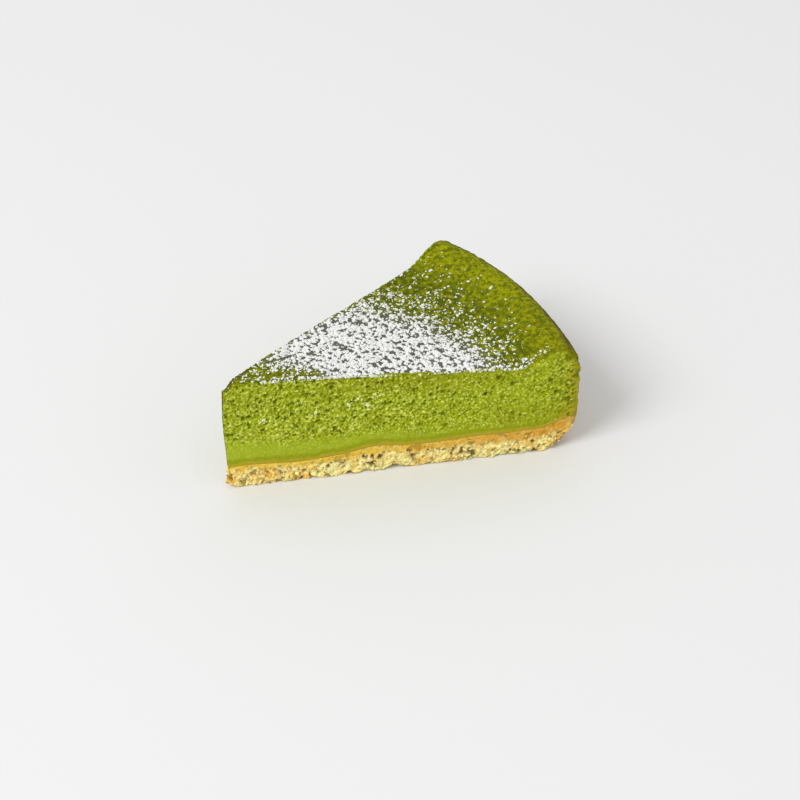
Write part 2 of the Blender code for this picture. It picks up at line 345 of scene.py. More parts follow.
class FillingSettings(bpy.types.PropertyGroup):
    """Sizes and colours of the baked filling."""

    large_bubble: length("Large bubbles", "Spacing of the largest bubbles in the cut", 1.5)
    small_bubble: length("Small bubbles", "Spacing of the smallest bubbles in the cut", 0.85)
    bubble_depth: length("Bubble depth", "Deepest that a cut bubble may be", 0.5)
    grit: length("Grit", "Height of the fine grit that the knife leaves", 0.28)
    skin_bump: length("Skin bumps", "Height of the bumps on the baked skin", 0.24)
    skin_bump_size: length("Skin bump size", "Width of the bumps on the baked skin", 1.5)
    dense_foot: length("Dense foot", "Height of the dense band at the tip, above the base", DENSE_FOOT_MM)
    cut: colour("Cut", "Main colour of the cut filling", "#a3b114")
    cut_dark: colour("Cut, dark", "Darker patches of the cut filling", "#8f9d08")
    foot: colour("Dense foot", "Smooth band above the base", "#a3b42c")
    foot_line: colour("Foot line", "Line just above the base", "#8f9208")
    seam: colour("Seam", "Filling stained by the butter of the base", "#b39a2e")
    # Painted shade: the colour drawn at the bottom of the bubbles, in the cut's hollows and in its noise
    # pits.
    pore: colour("Pore", "Bottom of the bubbles", "#505c00")
    # Partly the paler broken walls between bubbles, partly a painted highlight on the raised ridges of the
    # cut.
    pale_wall_and_highlight: colour("Speck", "Pale broken walls between bubbles", "#e0e96e")
    skin: colour("Skin", "Baked skin on top", "#949602")
    skin_dark: colour("Skin, dark", "Darker patches of the skin", "#586200")
    skin_moist: colour("Moist skin", "Skin darkened where the sugar melts into it", "#444f02")
    skin_brown: colour("Browned skin", "Skin baked against the tin", "#857412")
    corner: colour("Corner", "Cut filling beside the baked outer side", "#aca21c")
    # Painted shade: the dark line on the shoulder past the rim's crest and along the tip's far edge.
    crest: colour("Crest", "Scorched line along the top of the rim", "#453f08")
    # Partly the haze of the finest sugar, partly painted shade in the gaps between the clumps.
    haze_and_gap_shade: colour("Dusting", "Skin under a haze of the finest sugar", "#5e5f56")


class BaseSettings(bpy.types.PropertyGroup):
    """Sizes and colours of the biscuit base."""

    crumb: length("Crumb", "Spacing of the crumbs in the pressed base", 1.8)
    fine_crumb: length("Fine crumb", "Spacing of the finest crumbs", 0.9)
    crumb_height: length("Crumb height", "How far crumbs stand out of the broken face", 0.68)
    butter_band: length("Buttery band", "Height of the darker, smoother band under the filling", 3.2)
    cream: colour("Cream crumb", "Palest crumbs", "#fff6a8")
    tan: colour("Tan crumb", "Middle crumbs", "#f2c054")
    # Painted shade in the fine crevices between flakes, in a toasted brown.
    fine_crevice_shade: colour("Toasted crumb", "Edges of the crumbs", "#b8842a")
    # Partly the darkest crumbs, partly painted shade in the crevices, holes and pits between them.
    dark_crumb_and_crevice_shade: colour("Brown crumb", "Darkest crumbs and crevices", "#5f4210")
    band: colour("Buttery band", "Crumb soaked with butter, under the filling", "#eac543")
    band_deep: colour("Deep band", "The same crumb near the outer side", "#d8a236")


class CrumbSettings(bpy.types.PropertyGroup):
    """Loose crumbs on and beside the cuts."""

    crust_count: count("Biscuit crumbs", "Number of loose biscuit crumbs on the cuts", 900)
    side_count: count("Crumbs on the side", "Number of biscuit crumbs round the outer side", 350)
    crust_smallest: length("Smallest biscuit crumb", "Smallest radius", 0.25)
    crust_largest: length("Largest biscuit crumb", "Largest radius", 1.1)
    green_count: count("Green crumbs", "Number of crumbs of filling on the cuts", 1600)
    green_smallest: length("Smallest green crumb", "Smallest radius", 0.18)
    green_largest: length("Largest green crumb", "Largest radius", 0.45)
    pale_count: count("Pale crumbs", "Number of crumbs in the pale patches on the near cut", 60)
    green: colour("Green crumb", "Crumbs of filling on the cuts", "#bccb46")
    pale: colour("Pale crumb", "The driest of these crumbs", "#eaf0b0")


class SugarSettings(bpy.types.PropertyGroup):
    """Icing sugar dusted over the skin."""

    clumps: count("Clumps", "Number of clumps of sugar", 4600)
    clump_smallest: length("Smallest clump", "Smallest radius of a clump", 0.26)
    clump_largest: length("Largest clump", "Largest radius of a clump", 0.58)
    edge_clumps: count("Edge clumps", "Number of clumps caught on the near edge", 110)
    grains: count("Grains", "Number of single grains and fine lumps", 7000)
    edge_grains: count("Edge grains", "Number of grains caught on the near edge", 240)
    grain_smallest: length("Smallest grain", "Smallest radius of a grain", 0.13)
    grain_largest: length("Largest grain", "Largest radius of a grain", 0.3)
    white: colour("Icing sugar", "Colour of the dry sugar", "#efefed")
    damp: colour("Damp sugar", "Thin stray sugar that lets the skin show through", "#c9cfa2")


class StageSettings(bpy.types.PropertyGroup):
    """Floor, lights and camera."""

    floor: colour("Floor", "Colour of the floor", "#e4e4e4")
    floor_size: length("Floor size", "Side of the floor", 12000)
    sky: share("Sky strength", "Strength of the even light from all round", 0.76, 10.0)
    key: FloatProperty(
        name="Key power", description="Power of the large soft light", default=39.0, unit="POWER"
    )
    key_from: position("Key place", "Where the large soft light stands", (-1.9, -0.3, 1.9))
    key_size: length("Key size", "Side of the large soft light", 1200)
    aim: position("Aim", "Point on the floor that the camera and the light look at", AIM)
    turn: rotation("Turn", "How far the camera stands round to the left of the near side", 28.24)
    elevation: rotation("Elevation", "Angle of the camera above the floor", 37.05)
    roll: rotation("Roll", "How far the camera is rolled, anticlockwise", -1.93)
    distance: length("Distance", "From the camera to the point it looks at", 534.26)
    lens: FloatProperty(name="Lens", description="Focal length", default=76.3, unit="CAMERA")


class TartSettings(bpy.types.PropertyGroup):
    """Everything that a user may change."""

    filling: PointerProperty(type=FillingSettings)
    base: PointerProperty(type=BaseSettings)
    crumbs: PointerProperty(type=CrumbSettings)
    sugar: PointerProperty(type=SugarSettings)
    stage: PointerProperty(type=StageSettings)


def smooth(low, high, value):
    """0 below low, 1 above high, and an even S-curve between them."""
    part = np.clip((value - low) / (high - low), 0, 1)
    return part * part * (3 - 2 * part)


def hump(offset, width):
    """1 at no offset, falling away on both sides over this width."""
    return np.exp(-((offset / width) ** 2))


def waves(x, y, z, size, seed, coarser=1):
    """Smooth noise from -1 to 1 with features of about this size, or this many times coarser."""
    size = size * coarser
    places = np.column_stack(np.broadcast_arrays(x / size + seed, y / size, z / size))
    return np.array([noise.noise(place) for place in places.tolist()])


def near_to_far(near_value, far_value, angle):
    """A size that changes evenly from the near cut to the far cut."""
    part = (angle / HALF_ANGLE + 1) / 2
    return near_value + (far_value - near_value) * part


def slanting(ends, radius, angle):
    """0 to 1 between two radii, each given in mm at the near and at the far cut."""
    low, high = (near_to_far(*end, angle) * MM for end in ends)
    return smooth(low, high, radius)


def near_only(angle, values):
    """These values on the near half of the slice, and 0 on the far half."""
    return np.where(angle < 0, values, 0)


def distance_to_cut(radius, angle):
    """How far a point lies inside the nearer of the two cut faces."""
    return np.maximum(0, radius * np.sin(HALF_ANGLE - np.abs(angle)))


def quarter_round(depth, radius):
    """How far a rounded edge of this radius stands back, at a depth from the flat face it meets."""
    left = np.maximum(0, radius - depth)
    return radius - np.sqrt(radius * radius - left * left)


def near_sag(radius, angle):
    """How far the top has sagged along the near cut, just inside the rim."""
    falling = smooth(NEAR_SAG_START, NEAR_SAG_DEEPEST, radius)
    rising = smooth(NEAR_SAG_DEEPEST, NEAR_SAG_END, radius)
    from_near_cut = radius * np.sin(HALF_ANGLE + angle)
    return NEAR_SAG * falling * (1 - rising) * (1 - smooth(0, NEAR_SAG_REACH, from_near_cut))


def crest_height(angle):
    """Height of the rim's crest, where nothing has sagged."""
    return near_to_far(NEAR_TROUGH + NEAR_RIM_RISE, FAR_TROUGH + FAR_RIM_RISE, angle)


def top_height(radius, angle):
    """Height of the smooth baked top."""
    trough = near_to_far(NEAR_TROUGH, FAR_TROUGH, angle)
    dome_end = near_to_far(NEAR_DOME_END, FAR_DOME_END, angle)
    dome_rise = near_to_far(NEAR_DOME_RISE, FAR_DOME_RISE, angle)
    rim_rise = near_to_far(NEAR_RIM_RISE, FAR_RIM_RISE, angle)
    dome = dome_rise * (1 - smooth(DOME_START, dome_end, radius))
    rim = rim_rise * smooth(RIM_START, RIM_CREST, radius)
    chip = TIP_CHIP * (1 - smooth(0, TIP_CHIP_REACH, radius - TIP_BLUNTNESS - TIP_LEAN))
    return trough + dome + rim - chip - near_sag(radius, angle)


def base_height(radius, angle):
    """Height of the seam between the base and the filling, uneven where a cut shows it."""
    shown = 1 - smooth(0, WAVE_REACH, distance_to_cut(radius, angle))
    swell = BASE_SWELL * hump(radius - BASE_SWELL_AT, BASE_SWELL_WIDTH)
    thinning = BASE_THINNING * hump(radius - BASE_THIN_AT, BASE_THIN_WIDTH)
    side = np.where(angle > 0, 1.0, 0.0)
    ripple = BASE_WAVE * waves(radius, side, 0, BASE_WAVE_LENGTH, SEAM_SEED)
    outward = BASE_OUTER_GAIN * radius / TART_RADIUS
    creep = WALL_CREEP * smooth(WALL_CREEP_START, TART_RADIUS, radius)
    return BASE_HEIGHT + creep + shown * (swell - thinning + ripple + outward)


def outer_radius(height, angle):
    """Distance of the outer side from the slice's point."""
    drop = near_to_far(NEAR_SHOULDER_DROP, FAR_SHOULDER_DROP, angle)
    corner_round = near_to_far(NEAR_CORNER_ROUND, FAR_CORNER_ROUND, angle)
    widest = crest_height(angle) - drop
    above_base = smooth(0, BASE_HEIGHT + WALL_CREEP, height)
    from_near_cut = TART_RADIUS * np.sin(HALF_ANGLE + angle)
    inward = distance_to_cut(TART_RADIUS, angle)
    flare = WALL_FLARE * np.minimum(1, height / widest)
    slump = NEAR_SLUMP * hump(from_near_cut, NEAR_SLUMP_REACH) * above_base
    wear = CORNER_WEAR * hump(inward, CORNER_WEAR_REACH) * (1 - above_base)
    rounding = quarter_round(inward, corner_round) * above_base
    wall = TART_RADIUS + flare + slump - wear - rounding
    part = np.clip((height - widest) / drop, 0, 1)
    shoulder = RIM_CREST + (wall - RIM_CREST) * np.sqrt(1 - part * part)
    return np.where(height < widest, wall - quarter_round(height, BASE_CORNER), shoulder)


def tip_radius(height):
    """Distance of the tip's narrow edge from the slice's point."""
    lean = TIP_LEAN * height / NEAR_TROUGH
    return TIP_BLUNTNESS + lean - TIP_BULGE * hump(height - TIP_BULGE_AT, TIP_BULGE_WIDTH)


def read_points(mesh):
    """The mesh's points as rows of x, y and z, counted from the slice's point."""
    points = np.empty(len(mesh.vertices) * 3, np.float32)
    mesh.vertices.foreach_get("co", points)
    return points.reshape(-1, 3).astype(float)


def write_points(mesh, points):
    """Puts the mesh's points where these rows say."""
    mesh.vertices.foreach_set("co", points.astype(np.float32).ravel())
    mesh.update()


def read_normals(mesh):
    """The direction in which the surface faces at each point."""
    normals = np.empty(len(mesh.vertices) * 3, np.float32)
    mesh.vertex_normals.foreach_get("vector", normals)
    return normals.reshape(-1, 3).astype(float)


def store_looks(mesh, looks):
    """Keeps values for each point under their names, for the material to read."""
    for name, values in looks.items():
        layer = mesh.attributes.new(name, "FLOAT", "POINT")
        layer.data.foreach_set("value", np.asarray(values, np.float32))


def polar(points):
    """Radius and angle of each point, held between the two cuts."""
    angle = np.arctan2(points[:, 1], points[:, 0])
    return np.hypot(points[:, 0], points[:, 1]), np.clip(angle, -HALF_ANGLE, HALF_ANGLE)


def sector_block(radial_steps, layers):
    """A tart sector with radius and angle in place, and 0 to 1 in z for bottom to top."""
    reach = TART_RADIUS - TIP_BLUNTNESS
    stand = Matrix(((reach, 0, 0, TIP_BLUNTNESS + reach / 2), (0, 0, 1, 0), (0, 1, 0, 0.5), (0, 0, 0, 1)))
    bm = bmesh.new()
    bmesh.ops.create_grid(bm, x_segments=radial_steps, y_segments=layers, size=0.5)
    bmesh.ops.transform(bm, matrix=Matrix.Rotation(-HALF_ANGLE, 4, "Z") @ stand, verts=bm.verts[:])
    bmesh.ops.spin(
        bm,
        geom=bm.faces[:],
        cent=(0, 0, 0),
        axis=(0, 0, 1),
        angle=SLICE_ANGLE,
        steps=ANGLE_STEPS,
        use_duplicate=False,
    )
    bmesh.ops.subdivide_edges(bm, edges=bm.edges[:], cuts=FINE_CUTS, use_grid_fill=True)
    bmesh.ops.recalc_face_normals(bm, faces=bm.faces[:])
    return bm


def flatten_hidden(bm, levels):
    """Makes one polygon of the faces that the other layer or the floor hides."""
    for level in levels:
        hidden = [
            face
            for face in bm.faces
            if all(abs(vert.co.z - level) < LEVEL_TOLERANCE for vert in face.verts)
            and distance_inside(face.calc_center_median()) > HIDDEN_MARGIN
        ]
        bmesh.ops.dissolve_faces(bm, faces=hidden, use_verts=True)


def distance_inside(point):
    """How far a point of a sector block lies inside its sides."""
    radius = math.hypot(point.x, point.y)
    angle = math.atan2(point.y, point.x)
    return min(float(distance_to_cut(radius, angle)), TART_RADIUS - radius)


def ordered_mesh(name, bm, radial_steps, layers):
    """The block as a mesh, with each point's share of the way outwards, round and up.

    Subdividing leaves points and faces in a chance order, so they are put in one order here, and
    every run scatters the crumbs and the sugar alike.
    """
    bm.verts.index_update()
    points = np.array([vert.co[:] for vert in bm.verts])
    radius, angle = polar(points)
    out = (radius - TIP_BLUNTNESS) / (TART_RADIUS - TIP_BLUNTNESS)
    turn = (angle / HALF_ANGLE + 1) / 2
    steps = np.array((radial_steps, ANGLE_STEPS, layers)) * (FINE_CUTS + 1)
    places = np.rint(np.column_stack((out, turn, points[:, 2])) * steps)
    order = np.lexsort(places.T)
    rank = np.argsort(order).tolist()
    faces = []
    for face in bm.faces:
        corners = [rank[vert.index] for vert in face.verts]
        start = corners.index(min(corners))
        faces.append(corners[start:] + corners[:start])
    bm.free()
    mesh = bpy.data.meshes.new(name)
    mesh.from_pydata(points[order].tolist(), [], sorted(faces))
    return mesh, places[order] / steps


def shaped_mesh(name, radial_steps, layers, floor_height, ceiling_height, hidden_levels):
    """A closed mesh between two heights, bent to the form of the slice."""
    bm = sector_block(radial_steps, layers)
    flatten_hidden(bm, hidden_levels)
    mesh, shares = ordered_mesh(name, bm, radial_steps, layers)
    out, turn, level = shares.T
    across = 2 * turn - 1
    radius = TIP_BLUNTNESS + out * (TART_RADIUS - TIP_BLUNTNESS)
    angle = HALF_ANGLE * (across + CROWDING * (np.sin(across * math.pi / 2) - across))
    low = floor_height(radius, angle)
    edge_height = low + level * (ceiling_height(radius, angle) - low)
    inner = tip_radius(edge_height)
    shaped = inner + out * (outer_radius(edge_height, angle) - inner)
    low = floor_height(shaped, angle)
    height = low + level * (ceiling_height(shaped, angle) - low)
    write_points(mesh, np.column_stack((shaped * np.cos(angle), shaped * np.sin(angle), height)))
    return mesh


def open_bubbles(points, outward, spacing, deepest, seed):
    """How far round bubbles, opened by a flat cut, lie below each of its points."""
    depths = np.zeros(len(points))
    for index, place in enumerate(points / spacing + seed):
        place = Vector(place)
        facing = Vector(outward[index])
        for centre in noise.voronoi(place)[1]:
            size = BUBBLE_MIDDLE + BUBBLE_STRAY * noise.cell(centre * BUBBLE_KEY)
            offset = centre - place
            if offset.length < size:
                level = offset.dot(facing)
                across = max(0.0, offset.length_squared - level * level)
                depths[index] = max(depths[index], math.sqrt(size * size - across) - level)
    return np.minimum(depths * spacing, deepest)


def cell_share(place):
    """A random share from 0 to 1 that is the same all over a cell."""
    return (noise.cell(place) + 1) / 2


def wobble(place):
    """A smooth shift that is the same in every run, which noise_vector isn't."""
    return Vector([noise.noise(place + Vector((shift, 0, 0))) for shift in WOBBLE_SHIFTS])


def broken_crumbs(points, spacing, hole_share, seed):
    """Angular crumbs pressed together: how far from a crack, tone, level, and 1 where one is missing."""
    found = np.zeros((4, len(points)))
    for index, place in enumerate((points / spacing + seed).tolist()):
        place = Vector(place)
        distances, centres = noise.voronoi(place + 0.3 * wobble(place * 1.9))
        nearest = centres[0]
        slope = 2 * noise.cell_vector(nearest * TILT_KEY) - Vector((1, 1, 1))
        missing = cell_share(nearest * HOLE_KEY) < hole_share
        level = cell_share(nearest * LEVEL_KEY) + slope.dot(place - nearest)
        found[0, index] = distances[1] - distances[0]
        found[1, index] = cell_share(nearest * TONE_KEY)
        found[2, index] = -1 if missing else level
        found[3, index] = missing
    return found


def on_cut_face(radius, angle):
    """True for the points that lie in one of the two cuts."""
    return distance_to_cut(radius, angle) < TIP_BLUNTNESS / 4


def bare_lip(radius, angle):
    """1 on the worn edge of the top along the near cut, which holds no sugar, and 0 elsewhere."""
    width = THIN_LIP_WIDTH + LIP_WIDTH * hump(radius - LIP_AT, LIP_REACH)
    part = smooth(*LIP_FADE, distance_to_cut(radius, angle) / width)
    return near_only(angle, 1 - part)


def skin_overhang(radius, angle):
    """How far the skin hangs down over the near cut."""
    reach = sum(hump(radius - place, width) for place, width in OVERHANGS)
    return near_only(angle, OVERHANG * reach)


def torn_side(radius, angle):
    """1 on the outer side where it meets the near cut and is as rough as the cut, and 0 elsewhere."""
    beside_cut = 1 - smooth(*TORN_FROM_CUT, distance_to_cut(radius, angle))
    return near_only(angle, beside_cut * smooth(*TORN_START, radius))


def rim_crumb(radius, angle):
    """Height of the small crumb that stands on the rim beside the far corner."""
    along = distance_to_cut(radius, angle) - RIM_CRUMB_FROM_CUT
    crumb = hump(along, RIM_CRUMB_WIDTH) * hump(radius - RIM_CREST, RIM_CRUMB_WIDTH)
    return np.where(angle > 0, RIM_CRUMB_HEIGHT * crumb, 0)


def near_pits(radius, angle, height, places, size):
    """How deep a few round pits of this radius are in the near cut."""
    deep = np.zeros(len(radius))
    for pit_radius, pit_height in places:
        away = np.hypot(radius - pit_radius * MM, height - pit_height * MM)
        deep = np.maximum(deep, np.sqrt(np.maximum(0, size * size - away * away)))
    return near_only(angle, deep)


def cut_direction(angle):
    """The way that the nearer cut faces, for each point."""
    side = np.where(angle > 0, 1.0, -1.0)
    turned = side * (HALF_ANGLE + math.pi / 2)
    return np.column_stack((np.cos(turned), np.sin(turned), np.zeros(len(angle))))


def finish_piece(name, mesh, material, soft=True):
    """Moves the mesh from the slice's point to its place and makes it a piece of the slice."""
    mesh.transform(Matrix.Translation((POINT_X, 0, 0)))
    if soft:
        mesh.shade_smooth()
    mesh.materials.append(material)
    piece = bpy.data.objects.new(name, mesh)
    bpy.context.scene.collection.objects.link(piece)
    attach(piece, "root")
    return piece


def linear(hex_colour):
    """Turns an sRGB hex colour into the linear values that shaders use."""
    channels = [int(hex_colour[start : start + 2], 16) / 255 for start in (1, 3, 5)]
    return (*(c / 12.92 if c <= 0.04045 else ((c + 0.055) / 1.055) ** 2.4 for c in channels), 1.0)


def feed(material, node, inputs):
    """Gives a node its inputs, each a value, or an output to link from."""
    for key, value in inputs.items():
        if isinstance(value, bpy.types.NodeSocket):
            material.node_tree.links.new(value, node.inputs[key])
        else:
            node.inputs[key].default_value = value


def add_node(material, kind, output, inputs, **settings):
    """Adds a node with its settings and inputs, and returns the output that is wanted from it."""
    node = material.node_tree.nodes.new("ShaderNode" + kind)
    for key, value in settings.items():
        setattr(node, key, value)
    feed(material, node, inputs)
    return node.outputs[output]


def new_material(name):
    """A material that holds only a plain shader."""
    material = bpy.data.materials.new(name)
    material.use_nodes = True
    return material


def finished(material, colour, roughness, shine, **more):
    """The material, with its shader given a colour, a roughness, a shine and any more inputs."""
    shader = material.node_tree.nodes["Principled BSDF"]
    more.update({"Base Color": colour, "Roughness": roughness, "Specular IOR Level": shine})
    feed(material, shader, more)
    return material


def pattern(size):
    """The noise scale that gives features of this size in metres."""
    return 1 / size


def custard_material(settings):
    """Baked matcha custard: a matt, porous, springy crumb under a thin dull skin."""
    material = new_material("baked_matcha_custard")
    place = add_node(material, "TexCoord", "Object", {})
    names = ("cut", "pore", "ridge", "foot", "foot_line", "seam")
    names += ("dusted", "moist", "browned", "edge", "crest")
    kept = {name: add_node(material, "Attribute", "Fac", {}, attribute_name=name) for name in names}
    noises = []
    for size, detail, roughness in ((2.6, 3.0, 0.6), (1.5, 4.0, 0.75), (0.75, 2.0, 0.6)):
        look = {"Vector": place, "Scale": pattern(size * MM), "Detail": detail, "Roughness": roughness}
        noises.append(add_node(material, "TexNoise", "Fac", look))
    patches, mottle, grains = noises
    spreads = (
        ("specks", grains, 0.53, 0.70, 0.9),
        ("pits", grains, 0.46, 0.30, 0.6),
        ("patches", patches, 0.36, 0.64, 1.0),
        ("mottle", mottle, 0.41, 0.57, 1.0),
    )
    for name, source, none, all_over, most in spreads:
        look = {"Value": source, "From Min": none, "From Max": all_over, "To Max": most}
        kept[name] = add_node(material, "MapRange", "Result", look)

    crumb_coats = (
        (kept["patches"], settings.cut),
        # Noise pits, drawn in the painted shade of the pores.
        (kept["pits"], settings.pore),
        (kept["specks"], settings.pale_wall_and_highlight),
        (kept["foot"], settings.foot),
        (kept["foot_line"], settings.foot_line),
        (kept["seam"], settings.seam),
        (kept["edge"], settings.corner),
        # Painted highlight on the raised ridges.
        (kept["ridge"], settings.pale_wall_and_highlight),
        # Painted shade in the bubbles and hollows of the cut.
        (kept["pore"], settings.pore),
    )
    skin_coats = (
        (kept["mottle"], settings.skin),
        (kept["moist"], settings.skin_moist),
        (kept["browned"], settings.skin_brown),
        (kept["pits"], settings.skin_dark),
        # Painted shade past the crest and along the tip's far edge.
        (kept["crest"], settings.crest),
        # Partly sugar haze, partly painted shade between the clumps.
        (kept["dusted"], settings.haze_and_gap_shade),
    )
    layers = []
    for ground, coats in ((settings.cut_dark, crumb_coats), (settings.skin_dark, skin_coats)):
        layer = linear(ground)
        for part, tint in coats:
            mix = {MIX_SHARE: part, MIX_FROM: layer, MIX_TO: linear(tint)}
            layer = add_node(material, "Mix", MIX_RESULT, mix, data_type="RGBA")
        layers.append(layer)
    crumb, skin = layers
    mix = {MIX_SHARE: kept["cut"], MIX_FROM: skin, MIX_TO: crumb}
    whole = add_node(material, "Mix", MIX_RESULT, mix, data_type="RGBA")
    relief = {"Height": grains, "Strength": 0.7, "Distance": 0.25 * MM}
    return finished(material, whole, 0.75, 0.08, Normal=add_node(material, "Bump", "Normal", relief))


def crumb_material(settings):
    """Crushed biscuit pressed with butter: dry, matt and craggy, darker where butter soaked in."""
    material = new_material("pressed_biscuit_crumb")
    place = add_node(material, "TexCoord", "Object", {})
    names = ("tone", "crack", "band", "outward")
    kept = {name: add_node(material, "Attribute", "Fac", {}, attribute_name=name) for name in names}
    look = {"Vector": place, "Scale": pattern(0.6 * MM), "Detail": 3.0, "Roughness": 0.65}
    grains = add_node(material, "TexNoise", "Fac", look)
    mixed = add_node(material, "Math", "Value", {0: kept["tone"], 1: grains}, operation="ADD")
    pale = add_node(material, "MapRange", "Result", {"Value": mixed, "From Min": 0.45, "From Max": 1.15})
    look = {"Vector": place, "Scale": pattern(1.1 * MM)}
    # Painted shade in fine crevices between flakes.
    flakes = add_node(material, "TexVoronoi", "Distance", look, feature="DISTANCE_TO_EDGE")
    look = {"Value": flakes, "From Min": 0.07, "From Max": 0.0, "To Max": 0.35}
    fine_crack = add_node(material, "MapRange", "Result", look)
    mix = {MIX_SHARE: kept["outward"], MIX_FROM: linear(settings.band), MIX_TO: linear(settings.band_deep)}
    band = add_node(material, "Mix", MIX_RESULT, mix, data_type="RGBA")
    crumb = linear(settings.tan)
    coats = (
        (pale, linear(settings.cream)),
        (kept["band"], band),
        # Painted shade in fine crevices, then in the crevices, holes and pits.
        (fine_crack, linear(settings.fine_crevice_shade)),
        (kept["crack"], linear(settings.dark_crumb_and_crevice_shade)),
    )
    for part, tint in coats:
        mix = {MIX_SHARE: part, MIX_FROM: crumb, MIX_TO: tint}
        crumb = add_node(material, "Mix", MIX_RESULT, mix, data_type="RGBA")
    relief = {"Height": grains, "Strength": 0.6, "Distance": 0.25 * MM}
    return finished(material, crumb, 0.85, 0.1, Normal=add_node(material, "Bump", "Normal", relief))


def green_crumb_material(settings):
    """Dry crumbs of baked custard: paler than the cut, because air and broken walls scatter light."""
    material = new_material("dry_matcha_crumb")
    dry = add_node(material, "Attribute", "Fac", {}, attribute_name="dry")
    mix = {MIX_SHARE: dry, MIX_FROM: linear(settings.green), MIX_TO: linear(settings.pale)}
    crumb = add_node(material, "Mix", MIX_RESULT, mix, data_type="RGBA")
    return finished(material, crumb, 0.8, 0.1)


def sugar_material(settings):
    """Icing sugar: a dry, fine powder, white and fully matt."""
    material = new_material("sifted_icing_sugar")
    place = add_node(material, "TexCoord", "Object", {})
    look = {"Vector": place, "Scale": pattern(0.35 * MM), "Detail": 2.0, "Roughness": 0.6}
    relief = {"Height": add_node(material, "TexNoise", "Fac", look), "Strength": 0.8, "Distance": 0.2 * MM}
    thin = add_node(material, "Attribute", "Fac", {}, attribute_name="thin")
    mix = {MIX_SHARE: thin, MIX_FROM: linear(settings.white), MIX_TO: linear(settings.damp)}
    powder = add_node(material, "Mix", MIX_RESULT, mix, data_type="RGBA")
    return finished(material, powder, 0.95, 0.15, Normal=add_node(material, "Bump", "Normal", relief))


